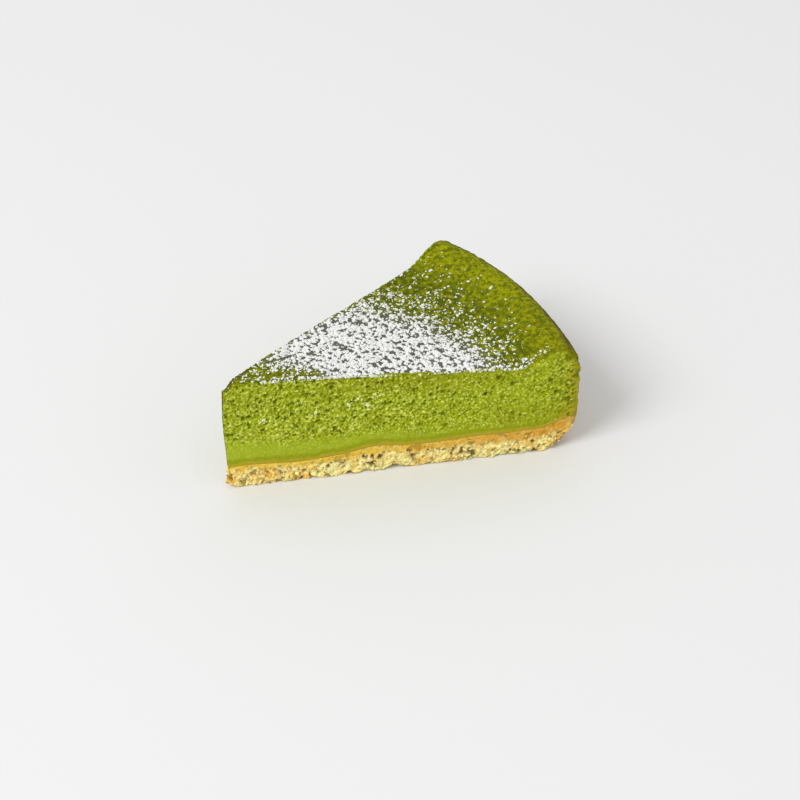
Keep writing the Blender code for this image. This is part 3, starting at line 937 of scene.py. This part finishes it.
def make_filling(settings):
    """The baked filling, with bubbles opened by the knife and a bumpy skin."""
    mesh = shaped_mesh(
        "matcha_filling_body",
        FILLING_RADIAL_STEPS,
        FILLING_LAYERS,
        lambda radius, angle: base_height(radius, angle) - SEAM_OVERLAP,
        top_height,
        (0,),
    )
    points = read_points(mesh)
    normals = read_normals(mesh)
    radius, angle = polar(points)
    x, y, z = points.T
    above_seam = z - base_height(radius, angle)
    cut = on_cut_face(radius, angle)
    facing = cut_direction(angle)

    foot_top = settings.dense_foot - FOOT_SLOPE * radius
    porous = smooth(foot_top - FOOT_FADE[0], foot_top + FOOT_FADE[1], above_seam)
    porous *= 1 - 0.4 * smooth(*DENSER_CUT, radius)
    porous = np.where(cut, porous, 0)

    pore = np.zeros(len(points))
    chosen = np.flatnonzero(cut & (porous > LEAST_POROUS))
    for spacing, seed in zip((settings.large_bubble, settings.small_bubble), BUBBLE_SEEDS):
        bubbles = open_bubbles(points[chosen], facing[chosen], spacing, settings.bubble_depth, seed)
        pore[chosen] = np.maximum(pore[chosen], bubbles)
    pore *= porous
    pits = near_pits(radius, angle, z, FILLING_PITS, FILLING_PIT_SIZE)
    pore = np.maximum(pore, np.where(cut, pits, 0))

    below_top = top_height(np.minimum(radius, RIM_CREST), angle) - z
    torn = torn_side(radius, angle)
    coarser = np.where(cut, 1, SIDE_COARSENESS)
    ridge = waves(x, y, z, *RIDGES, coarser) + 0.7 * waves(x, y, z, *FINE_RIDGES, coarser)
    ridge *= np.where(cut, 0.15 + porous, 0.8 * torn)
    # Painted shade in pits near the outer side and on its torn edge: they are pressed in, and drawn dark in
    # the pore colour.
    pit_waves = waves(x, y, z, *PIT_WAVES, coarser)
    shaded_pits = smooth(0.05, 0.35, pit_waves + 0.08 * smooth(*SHADED_PITS_HEIGHTS, z))
    shaded_pits *= np.where(cut, smooth(*SHADED_PITS_CUT, radius), torn) * smooth(*SKIN_FADE, below_top)
    grit = settings.grit * (ridge - shaded_pits)
    coarse_seed, fine_seed = SKIN_BUMP_SEEDS
    bump = settings.skin_bump * waves(x, y, z, settings.skin_bump_size, coarse_seed)
    bump += 0.6 * settings.skin_bump * waves(x, y, z, settings.skin_bump_size / 2, fine_seed)
    bump = np.where(above_seam > SKIN_START, bump + rim_crumb(radius, angle), 0)
    bump += grit + TORN_SWELL * torn * waves(x, y, z, *TORN_SWELLS)
    bump = np.where(cut, 0, bump * smooth(*SKIN_FADE, above_seam))
    push = np.where(cut, grit - pore, 0)
    write_points(mesh, points + facing * push[:, None] + normals * bump[:, None])

    flecks = waves(x, y, z, *FLECKS)
    # Painted shade on the shoulder past the crest, where it turns away, and along the tip's far edge; the
    # browned outer side; and the near shoulder, drawn a little darker in the browned colour.
    past_crest = radius - RIM_CREST - CREST_STRAY * waves(x, y, 0, *CREST_WANDER)
    crest = smooth(0, CREST_FADE, past_crest - near_to_far(*CREST_STARTS, angle) * MM)
    crest = crest * (1 - smooth(*CREST_DEPTHS, below_top + CREST_FLECK * flecks)) * (1 - 0.6 * torn)
    far_tip_shade = 1 - smooth(*FAR_EDGE_FADE, distance_to_cut(radius, angle))
    far_tip_shade *= np.where(angle > 0, 1 - smooth(*FAR_TIP_SHADE_END, radius), 0)
    baked = radius + BAKED_FLECK * flecks
    near_shoulder = smooth(-0.5, -0.9, angle / HALF_ANGLE) * smooth(*BROWNED_SHOULDER, baked)
    walled = smooth(*BROWNED_WALL, radius) * (0.85 + 0.4 * flecks) * (1 - 0.8 * torn)
    # Olive tints in the cut: under the skin, low down beside the outer side, and over the base.
    under_skin = 0.25 + 0.5 * hump(radius - UNDER_SKIN_AT, UNDER_SKIN_WIDTH)
    under_skin = under_skin * smooth(*UNDER_SKIN_HEIGHTS, z) * (1 - smooth(*UNDER_SKIN_END, radius))
    near_side = 0.5 * smooth(*LOW_BROWN_START, radius) * hump(z - LOW_BROWN_AT, LOW_BROWN_HEIGHT)
    stained = above_seam + STAIN_FLECK * flecks
    foot_line = 0.8 * hump(stained - FOOT_LINE_AT, FOOT_LINE_HEIGHT)
    foot = 1 - smooth(foot_top - FOOT_TINT_FADE[0], foot_top + FOOT_TINT_FADE[1], above_seam)
    seam = 1 - smooth(0, STAIN_HEIGHT + WALL_STAIN * smooth(*STAINED_WALL, radius), stained)
    # Painted shade: the cut is drawn darker the deeper a bubble is and the lower its ridges lie.
    dark = pore / settings.bubble_depth + 0.8 * smooth(0.25, 0.75, -ridge)
    # The skin is darker where sugar melts into it. Under and around the sugar it is drawn greyer and darker,
    # partly a haze of the finest sugar and partly painted shade between the clumps and in the hole in the
    # sugar.
    damp = np.clip(0.55 + 1.6 * flecks, 0, 0.9) * (0.5 + 0.5 * smooth(*DAMP_START, radius))
    damp *= 1 - slanting(DAMP_END, radius, angle)
    dusted = 0.95 * smooth(0.35, 0.95, sugar_cover(x, y) + sugar_gap(x, y))
    dusted *= 1 - smooth(*HAZE_AND_GAP_SHADE_END, radius)
    overhang = skin_overhang(radius, angle) + LEAST_OVERHANG
    open_cut = smooth(0.6, 1, (below_top + OVERHANG_FLECK * flecks) / overhang)
    open_side = np.maximum(bare_lip(radius, angle), 0.85 * torn * smooth(*TORN_DEPTHS, below_top))
    looks = {
        "cut": np.where(cut, open_cut, open_side),
        # Painted shade in the bubbles, the hollows and the pits.
        "pore": np.clip(np.maximum(dark, shaded_pits), 0, 1) * 0.8,
        # Painted highlight: raised ridges of the cut are drawn paler, except over bubbles.
        "ridge": smooth(0.25, 0.75, ridge - pore / settings.bubble_depth) * 0.9,
        "dusted": np.where(cut, 0, dusted),
        "moist": damp,
        "foot": foot * 0.75,
        "foot_line": np.maximum(foot_line, np.maximum(under_skin, near_side)),
        "seam": seam * 0.85,
        "browned": np.clip(np.maximum(walled, 0.15 * near_shoulder), 0, 1),
        "edge": 0.7 * smooth(*BAKED_EDGE, baked),
        # Painted shade past the crest and along the tip's far edge.
        "crest": 0.8 * np.maximum(crest, far_tip_shade),
    }
    store_looks(mesh, looks)
    return mesh


def make_base(settings):
    """The biscuit base, broken into crumbs where the knife cut it."""
    mesh = shaped_mesh(
        "biscuit_base_body",
        BASE_RADIAL_STEPS,
        BASE_LAYERS,
        lambda radius, angle: np.zeros(len(radius)),
        base_height,
        (0, 1),
    )
    points = read_points(mesh)
    normals = read_normals(mesh)
    radius, angle = polar(points)
    x, y, z = points.T
    below_seam = base_height(radius, angle) - z
    cut = on_cut_face(radius, angle)
    outside = (normals[:, 0] > 0.3) & (radius > WALL_CREEP_START)
    shown = np.where(cut, 1.0, np.where(outside, 0.5, 0.0))

    ragged = below_seam + BAND_STRAY * waves(x, y, z, *BAND_EDGE)
    widening = 0.4 * smooth(*BAND_WIDENING, radius) + 0.25 * smooth(*OUTER_BAND_WIDENING, radius)
    band_height = settings.butter_band * (0.6 + widening)
    band = 1 - smooth(band_height * 0.75, band_height * 1.25, ragged)
    band *= 1 - 0.6 * smooth(*BAND_END, radius)
    spacings = (settings.crumb, settings.fine_crumb)
    coarse, fine = (broken_crumbs(points, *each) for each in zip(spacings, HOLE_SHARES, CRUMB_SEEDS))
    coarse_crack, coarse_tone, coarse_level, coarse_hole = coarse
    fine_crack, fine_tone, fine_level, fine_hole = fine
    pit = np.zeros(len(points))
    for places, size in ((BASE_PITS, BASE_PIT_SIZE), (SMALL_BASE_PITS, SMALL_BASE_PIT_SIZE)):
        pit = np.maximum(pit, near_pits(radius, angle, z, places, size) / size)
    rough = (1 - 0.65 * band) * shown * smooth(*RELIEF_FADE, below_seam)
    lump = 0.8 * coarse_level - 0.3 - 0.4 * (1 - smooth(0, RELIEF_CRACK, coarse_crack))
    lump += 0.4 * fine_level - 0.2 - 0.15 * (1 - smooth(0, RELIEF_CRACK, fine_crack))
    lump = settings.crumb_height * (lump - pit + 0.5 * waves(x, y, z, *BASE_SWELLS))
    lump += CRUMB_PROUD * np.maximum(0, 1 - z / BASE_HEIGHT)
    under_lip = SEAM_STEP * (1 - smooth(*STEP_FADE, below_seam)) * (shown > 0)
    moved = points + normals * (lump * rough - under_lip)[:, None]
    worn = FLOOR_WEAR_DEPTH * np.maximum(0, waves(x, y, 0, *FLOOR_WEAR))
    worn *= 1 - 0.7 * smooth(*WORN_END, radius)
    worn = np.maximum(worn, TIP_WEAR * (1 - smooth(0, TIP_WEAR_REACH, radius)))
    worn = np.maximum(worn, near_only(angle, ARCH_HEIGHT * hump(radius - ARCH_AT, ARCH_WIDTH)))
    worn *= 1 - smooth(WORN_FROM_CUT, HIDDEN_MARGIN, distance_to_cut(radius, angle))
    lowest = np.where(z < ON_FLOOR, 0, np.maximum(moved[:, 2], 0))
    moved[:, 2] = lowest + worn * np.maximum(0, 1 - z / BASE_HEIGHT)
    write_points(mesh, moved)

    # Painted shade in the crevices between crumbs, in holes where crumbs are missing and in the pits, the
    # more so at the corner.
    crack = 0.28 * (1 - smooth(0, 0.1, coarse_crack)) + 0.1 * (1 - smooth(0, 0.12, fine_crack))
    past_tip = smooth(*TIP_LOOKS, radius)
    at_corner = smooth(*CORNER_LOOKS, radius)
    hole = 0.8 * coarse_hole + 0.6 * fine_hole + 0.8 * smooth(0.2, 0.7, pit)
    hole *= 0.5 + 0.5 * past_tip
    hole *= 1 + 0.5 * at_corner
    plain = 0.95 - 0.2 * smooth(0.55, 0.9, fine_tone)
    darker = 0.18 * (1 - past_tip) - 0.45 * waves(x, y, z, *TONE_PATCHES) + 0.2 * at_corner
    looks = {
        "tone": 0.55 * coarse_tone + 0.4 * fine_tone - darker,
        "crack": np.clip(crack + hole, 0, 0.85) * (1 - 0.6 * band),
        "band": np.maximum(band * plain, 0.4 * at_corner),
        "outward": smooth(*OUTWARD_LOOKS, radius),
    }
    store_looks(mesh, looks)
    return mesh


def taken_shape(bm):
    """Corners and triangles of a small shape, whose mesh is then freed."""
    bmesh.ops.triangulate(bm, faces=bm.faces[:])
    bmesh.ops.recalc_face_normals(bm, faces=bm.faces[:])
    bm.verts.index_update()
    corners = np.array([vert.co[:] for vert in bm.verts])
    faces = np.array([[vert.index for vert in face.verts] for face in bm.faces])
    bm.free()
    return corners, faces


def lump_shapes(number, segments, rings, roughness, seed):
    """A few soft irregular lumps of radius 1, to be repeated."""
    shapes = []
    for index in range(number):
        bm = bmesh.new()
        bmesh.ops.create_uvsphere(bm, u_segments=segments, v_segments=rings, radius=1)
        for vert in bm.verts:
            swell = noise.noise(vert.co * 1.1 + Vector((seed + index * 5.3, 0, 0)))
            vert.co *= 1 + roughness * swell
        shapes.append(taken_shape(bm))
    return shapes


def chip_shapes(number, corner_count, seed):
    """A few angular chips of about radius 1, to be repeated."""
    rng = np.random.default_rng(seed)
    shapes = []
    for _ in range(number):
        bm = bmesh.new()
        for place in rng.normal(size=(corner_count, 3)):
            bm.verts.new(Vector(place).normalized() * rng.uniform(0.65, 1.1))
        bmesh.ops.convex_hull(bm, input=bm.verts[:])
        loose = [vert for vert in bm.verts if not vert.link_faces]
        bmesh.ops.delete(bm, geom=loose, context="VERTS")
        shapes.append(taken_shape(bm))
    return shapes


def random_turns(rng, number):
    """Rotation matrices in random directions."""
    turns = rng.normal(size=(number, 3, 3))
    return np.linalg.qr(turns)[0]


def joined_lumps(name, shapes, centres, sizes, normals, flatness, narrowest, looks, rng):
    """One mesh of many lumps, each turned at random and a little flattened along its normal.

    The looks hold one value for each lump, which is kept at all of the lump's points.
    """
    corners = []
    faces = []
    owners = []
    first = 0
    turns = random_turns(rng, len(centres))
    stretch = rng.uniform(narrowest, 1.3, size=(len(centres), 3))
    for index, centre in enumerate(centres):
        shape_corners, shape_faces = shapes[index % len(shapes)]
        lump = (shape_corners * stretch[index]) @ turns[index] * sizes[index]
        up = normals[index]
        lump -= np.outer(lump @ up, up) * flatness
        lump += centre
        lump[:, 2] += max(0.0, -lump[:, 2].min())
        corners.append(lump)
        flip = np.linalg.det(turns[index]) < 0
        faces.append((shape_faces[:, ::-1] if flip else shape_faces) + first)
        owners.append(np.full(len(shape_corners), index))
        first += len(shape_corners)
    mesh = bpy.data.meshes.new(name)
    mesh.from_pydata(np.concatenate(corners).tolist(), [], np.concatenate(faces).tolist())
    owner = np.concatenate(owners)
    store_looks(mesh, {name: values[owner] for name, values in looks.items()})
    return mesh


def surface_tree(*meshes):
    """A tree that finds the nearest or first-hit place on these meshes."""
    corners = []
    faces = []
    first = 0
    for mesh in meshes:
        mesh.calc_loop_triangles()
        triangles = np.empty(len(mesh.loop_triangles) * 3, np.int32)
        mesh.loop_triangles.foreach_get("vertices", triangles)
        corners.append(read_points(mesh))
        faces.append(triangles.reshape(-1, 3) + first)
        first += len(mesh.vertices)
    return BVHTree.FromPolygons(np.concatenate(corners).tolist(), np.concatenate(faces).tolist())


def towards_cut(radius, height, side):
    """A point just outside a cut, -1 for the near one and 1 for the far one, and the way in."""
    turn = side * HALF_ANGLE
    out = Vector((-side * math.sin(turn), side * math.cos(turn), 0))
    place = Vector((radius * math.cos(turn), radius * math.sin(turn), height))
    return place + out * DROP_START, -out


def on_base_cut(rng):
    """A random way to a cut of the base."""
    radius = rng.uniform(FIRST_CRUMBS, TART_RADIUS)
    top = float(base_height(np.array([radius]), np.array([0.0]))[0])
    height = rng.uniform(CRUMBS_FROM_FLOOR, top - CRUMBS_BELOW_SEAM)
    return towards_cut(radius, height, rng.choice((-1, 1)))


def on_base_side(rng):
    """A random way to the outer side of the base."""
    angle = rng.uniform(-HALF_ANGLE, HALF_ANGLE)
    out = Vector((math.cos(angle), math.sin(angle), 0))
    height = Vector((0, 0, rng.uniform(SIDE_CRUMBS_FROM_FLOOR, BASE_HEIGHT)))
    return out * (TART_RADIUS + DROP_START) + height, -out


def on_filling_cut(rng):
    """A random way to a cut of the filling, seldom to its dense foot."""
    radius = rng.uniform(FIRST_CRUMBS, TART_RADIUS)
    height = rng.uniform(BASE_HEIGHT + CRUMBS_ABOVE_SEAM, HIGHEST_CRUMBS)
    foot_top = BASE_HEIGHT + DENSE_FOOT_MM * MM - FOOT_SLOPE * radius
    skipped = height < foot_top and rng.uniform() < 0.9
    if skipped or rng.uniform() < 0.5 * radius / TART_RADIUS:
        return on_filling_cut(rng)
    return towards_cut(radius, height, rng.choice((-1, 1)))


def on_pale_patch(rng):
    """A random way to one of the pale patches on the near cut."""
    radius, height = rng.normal(rng.choice(PALE_PATCHES) * MM, PALE_PATCH_REACH)
    return towards_cut(radius, height, -1)


def surface_spots(tree, rng, number, random_way):
    """Where these random ways first meet the real surface."""
    centres = []
    normals = []
    while len(centres) < number:
        hit, normal, _, _ = tree.ray_cast(*random_way(rng), DROP_REACH)
        if hit is not None:
            centres.append(hit)
            normals.append(normal)
    return np.array(centres), np.array(normals)


def on_near_edge(rng):
    """A random way to the near cut just below the top, where sugar has caught on the edge."""
    radius = rng.uniform(*EDGE_SUGAR)
    edge = np.array([radius]), np.array([-HALF_ANGLE])
    inside = EDGE_SUGAR_INSIDE / radius - HALF_ANGLE
    covered = sugar_cover(radius * np.cos([inside]), radius * np.sin([inside]))[0]
    if rng.uniform() > (0.1 + covered) * (1 - hump(radius - LIP_AT - BARE_SHIFT, 1.4 * LIP_REACH)):
        return on_near_edge(rng)
    depth = rng.uniform() ** 2 * (EDGE_SUGAR_DEPTH + skin_overhang(*edge)[0])
    return towards_cut(radius, top_height(*edge)[0] - depth - EDGE_SUGAR_BELOW, -1)


def both_spots(first, second):
    """Joins two lots of centres and normals."""
    return [np.concatenate(pair) for pair in zip(first, second)]


def sugar_gap(x, y):
    """1 in the middle of the dark hole in the sugar, and 0 away from it."""
    return hump(np.hypot(x - SUGAR_GAP[0], y - SUGAR_GAP[1]), SUGAR_GAP_SIZE)


def sugar_cover(x, y):
    """Share of the skin that sugar covers at a place, from 0 to 1."""
    radius, angle = polar(np.column_stack((x, y)))
    inward = distance_to_cut(radius, angle)
    body = slanting(PATCH_START, radius, angle) * (1 - slanting(PATCH_END, radius, angle))
    stray = 0.05 * (1 - smooth(*STRAY_END, radius)) * smooth(*STRAY_START, radius)
    stray += 0.12 * hump(radius - TIP_STRAYS_AT, TIP_STRAYS_REACH)
    row_inside = ROW_FROM_CUT + 0.25 * np.maximum(0, radius - ROW_BEND_AT)
    row = hump(radius - STRAY_ROW_AT, STRAY_ROW_REACH) * hump(inward - row_inside, ROW_WIDTH)
    frayed = 0.35 * (1 - smooth(*FRAYED_EDGE, inward))
    thin_strip = 0.5 * hump(inward - THIN_STRIP, THIN_STRIP) * (1 - smooth(*THIN_STRIP_END, radius))
    cover = body * (1 - np.where(angle > 0, frayed, thin_strip)) + stray + 0.45 * near_only(angle, row)
    return np.clip(cover * (1 - sugar_gap(x, y)), 0, 1) * (1 - bare_lip(radius, angle))


def from_spots(x, y, spacing):
    """How far each place is from the nearest of many scattered spots, as a share of their spacing."""
    places = zip((x / spacing).tolist(), (y / spacing).tolist())
    return np.array([noise.voronoi((*place, 0.0))[0][0] for place in places])


def sugar_lumps(name, tree, number, on_edge, smallest, largest, shapes, seed):
    """Lumps of icing sugar, dense in the patch, and damper and stray around it and on the near edge."""
    rng = np.random.default_rng(seed)
    tries = 30 * number
    radius = TART_RADIUS * np.sqrt(rng.uniform(size=tries))
    angle = rng.uniform(-HALF_ANGLE, HALF_ANGLE, size=tries)
    x = radius * np.cos(angle)
    y = radius * np.sin(angle)
    cover = sugar_cover(x, y)
    # Lumps overlap, so their number grows faster than the share that they cover.
    wanted = -np.log(1 - 0.95 * cover) / math.log(20)
    filled = smooth(-0.52, -0.18, waves(x, y, 0, *SUGAR_HEAPS))
    wanted *= 1 - 0.95 * cover * (1 - filled)
    likely = np.flatnonzero(rng.uniform(size=tries) < wanted)
    open_spot = from_spots(x[likely], y[likely], SUGAR_SPOT_SPACING) < SUGAR_SPOT_SHARE
    chosen = likely[~open_spot | (cover[likely] < 0.3)][:number]
    centres = []
    normals = []
    for index in chosen:
        hit, normal, _, _ = tree.ray_cast(Vector((x[index], y[index], ABOVE_TOP)), Vector((0, 0, -1)))
        centres.append(hit)
        normals.append(normal)
    on_top = np.array(centres), np.array(normals)
    centres, normals = both_spots(on_top, surface_spots(tree, rng, on_edge, on_near_edge))
    sizes = smallest + (largest - smallest) * rng.uniform(size=len(centres)) ** 2
    centres += normals * sizes[:, None] * 0.15
    bareness = np.append(1 - cover[chosen], np.full(on_edge, 0.8))
    looks = {"thin": bareness * rng.uniform(0, 0.9, size=len(centres))}
    return joined_lumps(name, shapes, centres, sizes, normals, 0.35, 0.75, looks, rng)


def piece_tree():
    """A tree of the finished filling and base, counted from the slice's point."""
    meshes = []
    for name in ("matcha_filling_body", "biscuit_base_body"):
        piece = bpy.data.objects.get(name)
        if piece is None:
            raise RuntimeError("The filling and the base are made first")
        copy = piece.data.copy()
        copy.transform(Matrix.Translation((-POINT_X, 0, 0)))
        meshes.append(copy)
    tree = surface_tree(*meshes)
    for copy in meshes:
        bpy.data.meshes.remove(copy)
    return tree


class TART_OT_filling(bpy.types.Operator):
    """Makes the baked matcha filling"""

    bl_idname = "tart.filling"
    bl_label = "Filling"

    def execute(self, context):
        settings = context.scene.tart.filling
        mesh = make_filling(settings)
        piece = finish_piece("matcha_filling_body", mesh, custard_material(settings))
        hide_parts("matcha_filling")
        return {"FINISHED"}


class TART_OT_base(bpy.types.Operator):
    """Makes the biscuit base"""

    bl_idname = "tart.base"
    bl_label = "Biscuit base"

    def execute(self, context):
        settings = context.scene.tart.base
        mesh = make_base(settings)
        piece = finish_piece("biscuit_base_body", mesh, crumb_material(settings))
        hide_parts("biscuit_base")
        return {"FINISHED"}


class TART_OT_crumbs(bpy.types.Operator):
    """Scatters loose crumbs over the two cuts and along the foot of the base"""

    bl_idname = "tart.crumbs"
    bl_label = "Loose crumbs"

    def execute(self, context):
        settings = context.scene.tart.crumbs
        tree = piece_tree()
        rng = np.random.default_rng(5)
        on_cuts = surface_spots(tree, rng, settings.crust_count, on_base_cut)
        on_side = surface_spots(tree, rng, settings.side_count, on_base_side)
        centres, normals = both_spots(on_cuts, on_side)
        radius, angle = polar(centres)
        below = base_height(radius, angle) - centres[:, 2]
        spread = settings.crust_largest - settings.crust_smallest
        sizes = settings.crust_smallest + spread * rng.uniform(size=len(centres)) ** 2.5
        sizes *= 1 + 0.5 * smooth(*LARGER_CRUMBS, radius)
        sizes = np.minimum(sizes, 0.35 * below)
        looks = {
            "tone": rng.uniform(0.2, 1.0, size=len(centres)),
            "crack": np.where(rng.uniform(size=len(centres)) < 0.06, 0.7, 0.0),
            "band": 0.8 * (1 - smooth(*CRUMB_BAND_DEPTHS, below)),
            "outward": smooth(*OUTWARD_LOOKS, radius),
        }
        sunk = centres - normals * sizes[:, None] * 0.4
        mesh = joined_lumps(
            "crust_crumbs", chip_shapes(12, 14, 3), sunk, sizes, normals, 0.2, 0.5, looks, rng
        )
        material = bpy.data.materials.get("pressed_biscuit_crumb")
        finish_piece("crust_crumbs", mesh, material, False)

        on_cuts = surface_spots(tree, rng, settings.green_count, on_filling_cut)
        on_patches = surface_spots(tree, rng, settings.pale_count, on_pale_patch)
        centres, normals = both_spots(on_cuts, on_patches)
        pale = np.arange(len(centres)) >= settings.green_count
        spread = settings.green_largest - settings.green_smallest
        sizes = settings.green_smallest + spread * rng.uniform(size=len(centres)) ** np.where(pale, 0.3, 3)
        looks = {"dry": np.where(pale, 0.85, 0.5 * rng.uniform(size=len(centres)) ** 3)}
        mesh = joined_lumps(
            "filling_crumbs", lump_shapes(4, 5, 3, 0.6, 17), centres, sizes, normals, 0.3, 0.5, looks, rng
        )
        finish_piece("filling_crumbs", mesh, green_crumb_material(settings))
        return {"FINISHED"}


class TART_OT_sugar(bpy.types.Operator):
    """Dusts the skin with icing sugar"""

    bl_idname = "tart.sugar"
    bl_label = "Icing sugar"

    def execute(self, context):
        settings = context.scene.tart.sugar
        tree = piece_tree()
        material = sugar_material(settings)
        clumps = (settings.clumps, settings.edge_clumps, settings.clump_smallest, settings.clump_largest)
        grains = (settings.grains, settings.edge_grains, settings.grain_smallest, settings.grain_largest)
        lots = (
            ("sugar_clumps", clumps, lump_shapes(8, 6, 4, 0.8, CLUMP_SEED), CLUMP_SEED),
            ("sugar_grains", grains, lump_shapes(6, 5, 3, 0.6, GRAIN_SEED), GRAIN_SEED),
        )
        for name, amounts, shapes, seed in lots:
            mesh = sugar_lumps(name, tree, *amounts, shapes, seed)
            finish_piece(name, mesh, material)
        return {"FINISHED"}


class TART_OT_stage(bpy.types.Operator):
    """Lays the floor and sets up the light and the camera"""

    bl_idname = "tart.stage"
    bl_label = "Floor, light and camera"

    def execute(self, context):
        scene = context.scene
        settings = scene.tart.stage
        bm = bmesh.new()
        bmesh.ops.create_grid(bm, x_segments=1, y_segments=1, size=settings.floor_size / 2)
        mesh = bpy.data.meshes.new("floor")
        bm.to_mesh(mesh)
        bm.free()
        mesh.materials.append(finished(new_material("matt_painted_board"), linear(settings.floor), 0.9, 0.1))
        floor = bpy.data.objects.new("floor", mesh)
        scene.collection.objects.link(floor)

        world = bpy.data.worlds.new("soft_studio")
        world.use_nodes = True
        background = world.node_tree.nodes["Background"]
        background.inputs["Color"].default_value = (1, 1, 1, 1)
        background.inputs["Strength"].default_value = settings.sky
        scene.world = world

        aim = Vector(settings.aim)
        light = bpy.data.lights.new("key", "AREA")
        light.shape = "SQUARE"
        light.size = settings.key_size
        light.energy = settings.key
        key = bpy.data.objects.new("key", light)
        key.location = settings.key_from
        key.rotation_euler = (aim - key.location).to_track_quat("-Z", "Y").to_euler()
        scene.collection.objects.link(key)

        camera_data = bpy.data.cameras.new("camera")
        camera_data.lens = settings.lens
        camera_data.sensor_width = SENSOR_WIDTH
        camera_data.clip_start = NEAREST_SEEN
        camera = bpy.data.objects.new("camera", camera_data)
        level = math.cos(settings.elevation)
        away = Vector(
            (
                -math.sin(settings.turn) * level,
                -math.cos(settings.turn) * level,
                math.sin(settings.elevation),
            )
        )
        facing = (-away).to_track_quat("-Z", "Y").to_matrix()
        facing = facing @ Matrix.Rotation(settings.roll, 3, "Z")
        camera.matrix_world = Matrix.Translation(aim + away * settings.distance) @ facing.to_4x4()
        scene.collection.objects.link(camera)
        scene.camera = camera
        scene.view_settings.view_transform = "Standard"
        scene.view_settings.look = "None"
        return {"FINISHED"}


class TART_PT_slice(bpy.types.Panel):
    """Lists what makes the slice"""

    bl_label = "Matcha tart slice"
    bl_idname = "TART_PT_slice"
    bl_space_type = "VIEW_3D"
    bl_region_type = "UI"
    bl_category = "Tart"

    def draw(self, context):
        for operator in OPERATORS:
            self.layout.operator(operator.bl_idname)
        for name in ("filling", "base", "crumbs", "sugar", "stage"):
            box = self.layout.box()
            group = getattr(context.scene.tart, name)
            box.label(text=name.capitalize())
            for key in group.bl_rna.properties.keys():
                if key not in ("rna_type", "name"):
                    box.prop(group, key)


OPERATORS = (TART_OT_filling, TART_OT_base, TART_OT_crumbs, TART_OT_sugar, TART_OT_stage)
CLASSES = (
    FillingSettings,
    BaseSettings,
    CrumbSettings,
    SugarSettings,
    StageSettings,
    TartSettings,
    *OPERATORS,
    TART_PT_slice,
)


def register():
    for item in CLASSES:
        bpy.utils.register_class(item)
    bpy.types.Scene.tart = PointerProperty(type=TartSettings)


def unregister():
    del bpy.types.Scene.tart
    for item in reversed(CLASSES):
        bpy.utils.unregister_class(item)


def main():
    register()
    bpy.ops.tart.filling()
    bpy.ops.tart.base()
    bpy.ops.tart.crumbs()
    bpy.ops.tart.sugar()
    bpy.ops.tart.stage()


if __name__ == "__main__":
    main()
